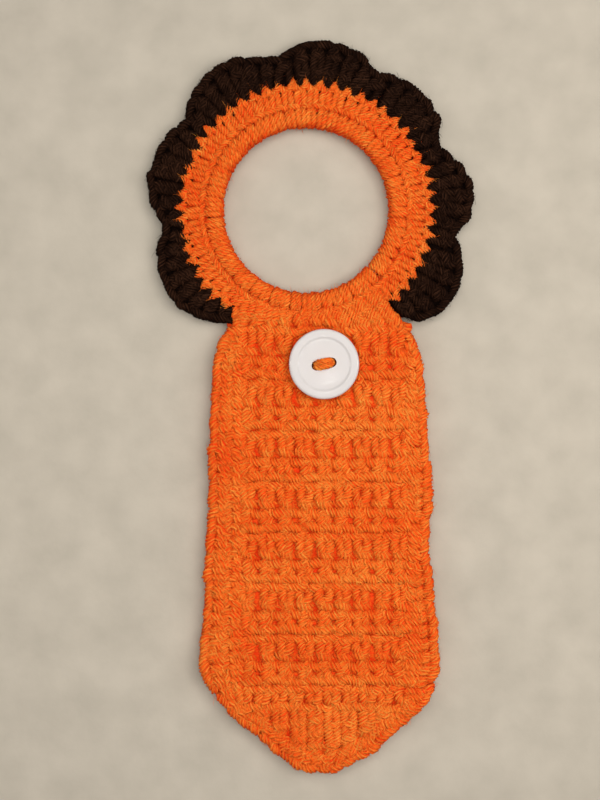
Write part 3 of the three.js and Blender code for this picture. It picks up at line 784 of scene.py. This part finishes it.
# the craft ring is inside its cover; give it its own finish
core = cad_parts["ring_core"]
m = bpy.data.materials.new("ring_plastic")
m.use_nodes = True
nt = m.node_tree
bsdf = nt.nodes["Principled BSDF"]
tc = node(nt, "ShaderNodeTexCoord", -900)
nz = node(nt, "ShaderNodeTexNoise", -700)
nz.inputs["Scale"].default_value = 150.0
rp = node(nt, "ShaderNodeValToRGB", -450)
rp.color_ramp.elements[0].color = (0.72, 0.70, 0.66, 1)
rp.color_ramp.elements[1].color = (0.80, 0.78, 0.74, 1)
nt.links.new(tc.outputs["Object"], nz.inputs["Vector"])
nt.links.new(nz.outputs[0], rp.inputs[0])
nt.links.new(rp.outputs[0], bsdf.inputs["Base Color"])
bsdf.inputs["Roughness"].default_value = 0.35
core.data.materials.clear()
core.data.materials.append(m)
for p_ in core.data.polygons:
    p_.use_smooth = True

# ------------------------------------------------------------------ floor, light, camera
lo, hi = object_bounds()
bpy.ops.mesh.primitive_plane_add(size=6, location=(0, 0, min(0.0, lo.z) - 0.0001))
floor = bpy.context.object
floor.name = "floor"
m = bpy.data.materials.new("pale_floor")
m.use_nodes = True
nt = m.node_tree
bsdf = nt.nodes["Principled BSDF"]
bsdf.inputs["Roughness"].default_value = 0.9
tc = node(nt, "ShaderNodeTexCoord", -900)
nz = node(nt, "ShaderNodeTexNoise", -700)
nz.inputs["Scale"].default_value = 60.0
nz.inputs["Detail"].default_value = 6.0
rp = node(nt, "ShaderNodeValToRGB", -450)
rp.color_ramp.elements[0].position, rp.color_ramp.elements[0].color = 0.3, (0.455, 0.417, 0.352, 1)
rp.color_ramp.elements[1].position, rp.color_ramp.elements[1].color = 0.7, (0.53, 0.485, 0.412, 1)
nt.links.new(tc.outputs["Object"], nz.inputs["Vector"])
nt.links.new(nz.outputs[0], rp.inputs[0])
nt.links.new(rp.outputs[0], bsdf.inputs["Base Color"])
b = node(nt, "ShaderNodeBump", -200, -300)
b.inputs["Strength"].default_value = 0.25
b.inputs["Distance"].default_value = 0.002
nt.links.new(nz.outputs[0], b.inputs["Height"])
nt.links.new(b.outputs[0], bsdf.inputs["Normal"])
floor.data.materials.append(m)

scene = bpy.context.scene
scene.view_settings.view_transform = "Standard"
world = bpy.data.worlds.new("studio")
scene.world = world
world.use_nodes = True
bg = world.node_tree.nodes["Background"]
bg.inputs[0].default_value = (1.0, 0.97, 0.93, 1)
bg.inputs[1].default_value = 0.17


def area(name, loc, target, size, power, colour=(1, 1, 1)):
    d = bpy.data.lights.new(name, "AREA")
    d.shape, d.size, d.size_y = "RECTANGLE", size[0], size[1]
    d.energy, d.color = power, colour
    ob = bpy.data.objects.new(name, d)
    scene.collection.objects.link(ob)
    ob.location = loc
    ob.rotation_euler = (Vector(target) - Vector(loc)).to_track_quat("-Z", "Y").to_euler()
    return ob


area("overhead", (0.12, 0.05, 0.58), (0.02, 0, 0), (0.66, 0.66), 4.08, (1.0, 0.95, 0.88))
area("left_strip", (-0.5, 0.05, 0.48), (0, 0, 0), (0.06, 0.5), 0.75, (1.0, 0.97, 0.94))
area("right_strip", (0.5, 0.05, 0.48), (0, 0, 0), (0.06, 0.5), 0.75, (1.0, 0.97, 0.94))
area("flash", (0.016 + SX * 0.001, 0.018, 0.5), (0, 0, 0), (0.006, 0.020), 0.0062, (1.0, 0.98, 0.95))

cam = bpy.data.cameras.new("camera")
cam_ob = bpy.data.objects.new("camera", cam)
scene.collection.objects.link(cam_ob)
cam.sensor_width = 36
D = 0.45
cam.lens = 36 * D / 0.320
cam.clip_start = 0.01
cam_ob.location = ((-4.2 + SX) * 0.001, (2.6 + SY) * 0.001, D + 0.004)
cam_ob.rotation_euler = (0, 0, 0)
scene.camera = cam_ob
